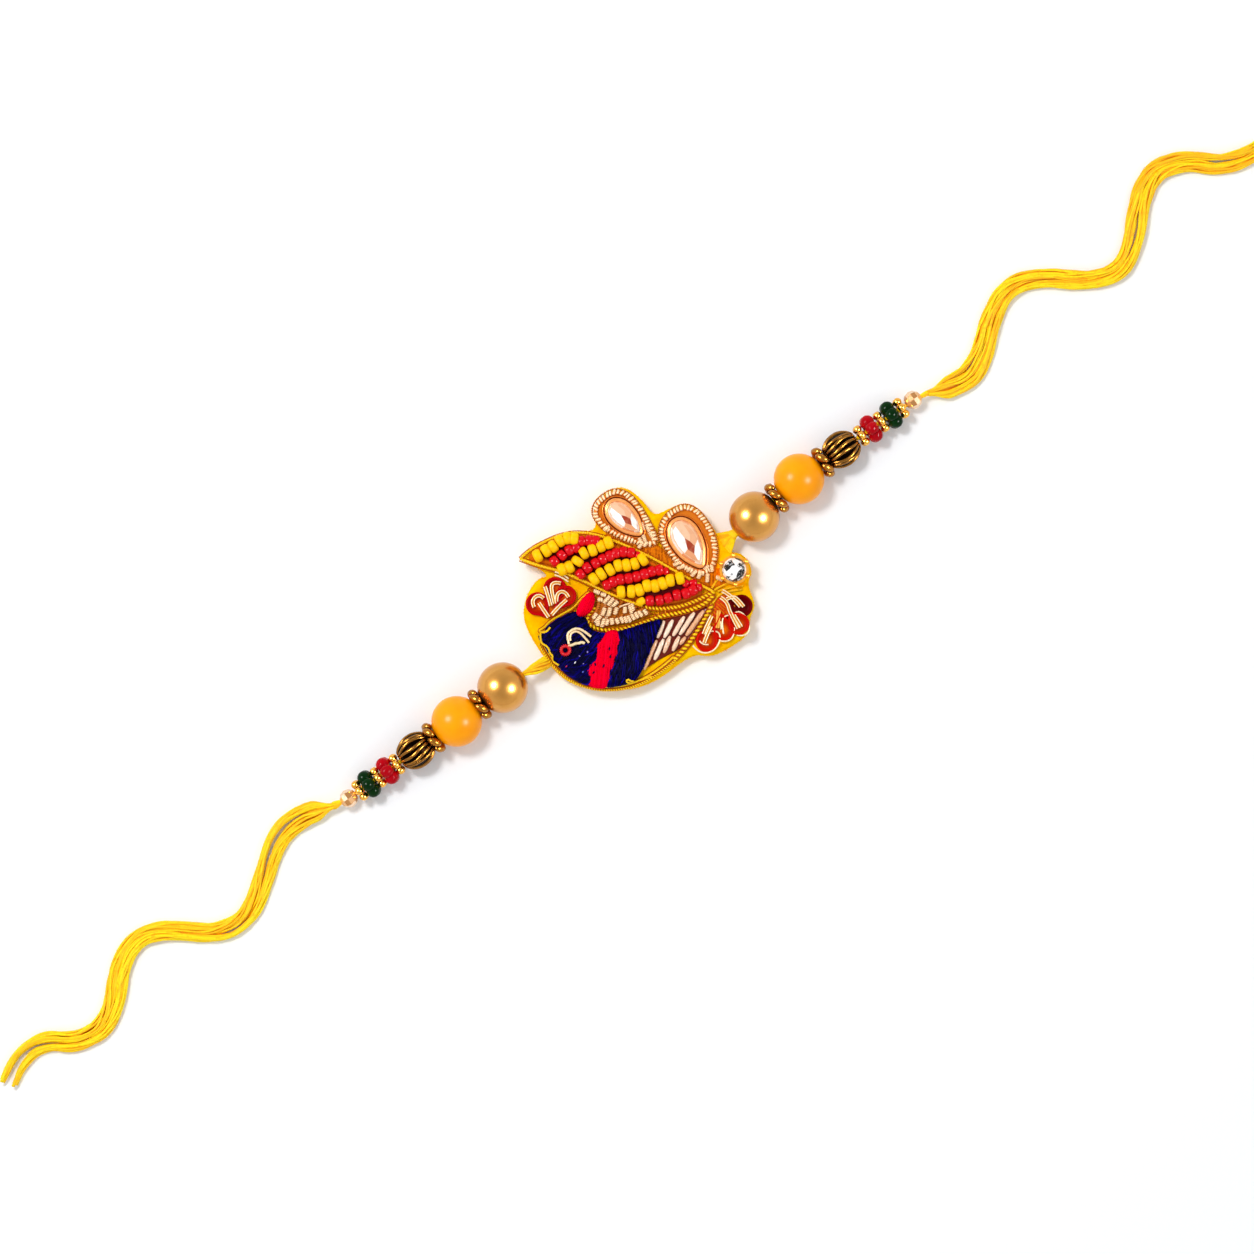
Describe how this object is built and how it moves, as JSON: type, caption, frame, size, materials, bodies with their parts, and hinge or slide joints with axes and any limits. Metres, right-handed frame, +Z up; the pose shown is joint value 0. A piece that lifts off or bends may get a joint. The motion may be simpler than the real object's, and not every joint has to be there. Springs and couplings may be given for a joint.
{
  "type": "rakhi thread bracelet",
  "caption": "Untied rakhi thread bracelet lying flat: an embroidered, beaded motif on padded felt, a bead string on each side and loose yellow thread tails.",
  "frame": {"origin": "on the surface the piece lies on, under the middle of the motif, on the base's underside", "axes": "+X along the bead strings, +Y across the motif, +Z up from the surface"},
  "size_m": [0.247, 0.0312, 0.008],
  "materials": {
    "amber_felt": "matt padded felt",
    "navy_satin": "satin stitch",
    "red_satin": "satin stitch",
    "seed_beads": "glossy seed beads on cloth",
    "purl_chips": "bright purl chips",
    "gold_cord": "twisted metallic cord",
    "copper_coil": "tight metal coil",
    "cream_wire": "smooth pale gold purl",
    "red_coil": "lacquered coil",
    "pink_bugle": "lustre glass",
    "peach_stone": "foil-backed cut glass",
    "copper_bezel": "polished copper gold",
    "clear_stone": "foil-backed crystal",
    "claw_gold": "polished gold plate",
    "red_foil": "glossy red foil",
    "maroon_foil": "glossy maroon foil",
    "gold_pearl": "satin gold pearl",
    "orange_bead": "opaque gloss",
    "antique_gold": "antiqued, dark in the hollows",
    "bright_gold": "bright gold plate",
    "red_glass": "glossy red glass",
    "green_glass": "glossy dark green glass",
    "champagne": "champagne gold plate",
    "yellow_thread": "twisted yellow thread"
  },
  "bodies": {
    "root": {"base_felt": "amber_felt", "bead_panel": "seed_beads", "body_border": "gold_cord", "body_pad": "navy_satin", "brim_border": "gold_cord", "brim_crescent": "purl_chips", "bugle_beads": "pink_bugle", "eye_loop": "cream_wire", "eye_ring": "red_coil", "head_pad": "navy_satin", "left_bead_thread": "yellow_thread", "left_end_bead": "champagne", "left_gold_ring_1": "bright_gold", "left_gold_ring_2": "bright_gold", "left_gold_ring_3": "bright_gold", "left_green_ring": "green_glass", "left_orange_bead": "orange_bead", "left_pearl_bead": "gold_pearl", "left_petal_1": "red_foil", "left_petal_2": "red_foil", "left_petal_3": "red_foil", "left_red_ring": "red_glass", "left_ribbed_bead": "antique_gold", "left_spacer_1": "antique_gold", "left_spacer_2": "antique_gold", "left_stamens": "cream_wire", "left_tail": "yellow_thread", "lower_frame": "copper_coil", "lower_setting": "copper_bezel", "lower_stone": "peach_stone", "panel_border": "gold_cord", "red_leaf": "red_satin", "red_stripe": "red_satin", "right_bead_thread": "yellow_thread", "right_end_bead": "champagne", "right_gold_ring_1": "bright_gold", "right_gold_ring_2": "bright_gold", "right_gold_ring_3": "bright_gold", "right_green_ring": "green_glass", "right_orange_bead": "orange_bead", "right_pearl_bead": "gold_pearl", "right_petal_1": "maroon_foil", "right_petal_2": "red_foil", "right_petal_3": "red_foil", "right_petal_4": "red_foil", "right_red_ring": "red_glass", "right_ribbed_bead": "antique_gold", "right_spacer_1": "antique_gold", "right_spacer_2": "antique_gold", "right_stamens": "cream_wire", "right_tail": "yellow_thread", "round_setting": "claw_gold", "round_stone": "clear_stone", "top_border": "gold_cord", "upper_frame": "copper_coil", "upper_setting": "copper_bezel", "upper_stone": "peach_stone"}
  },
  "joints": []
}
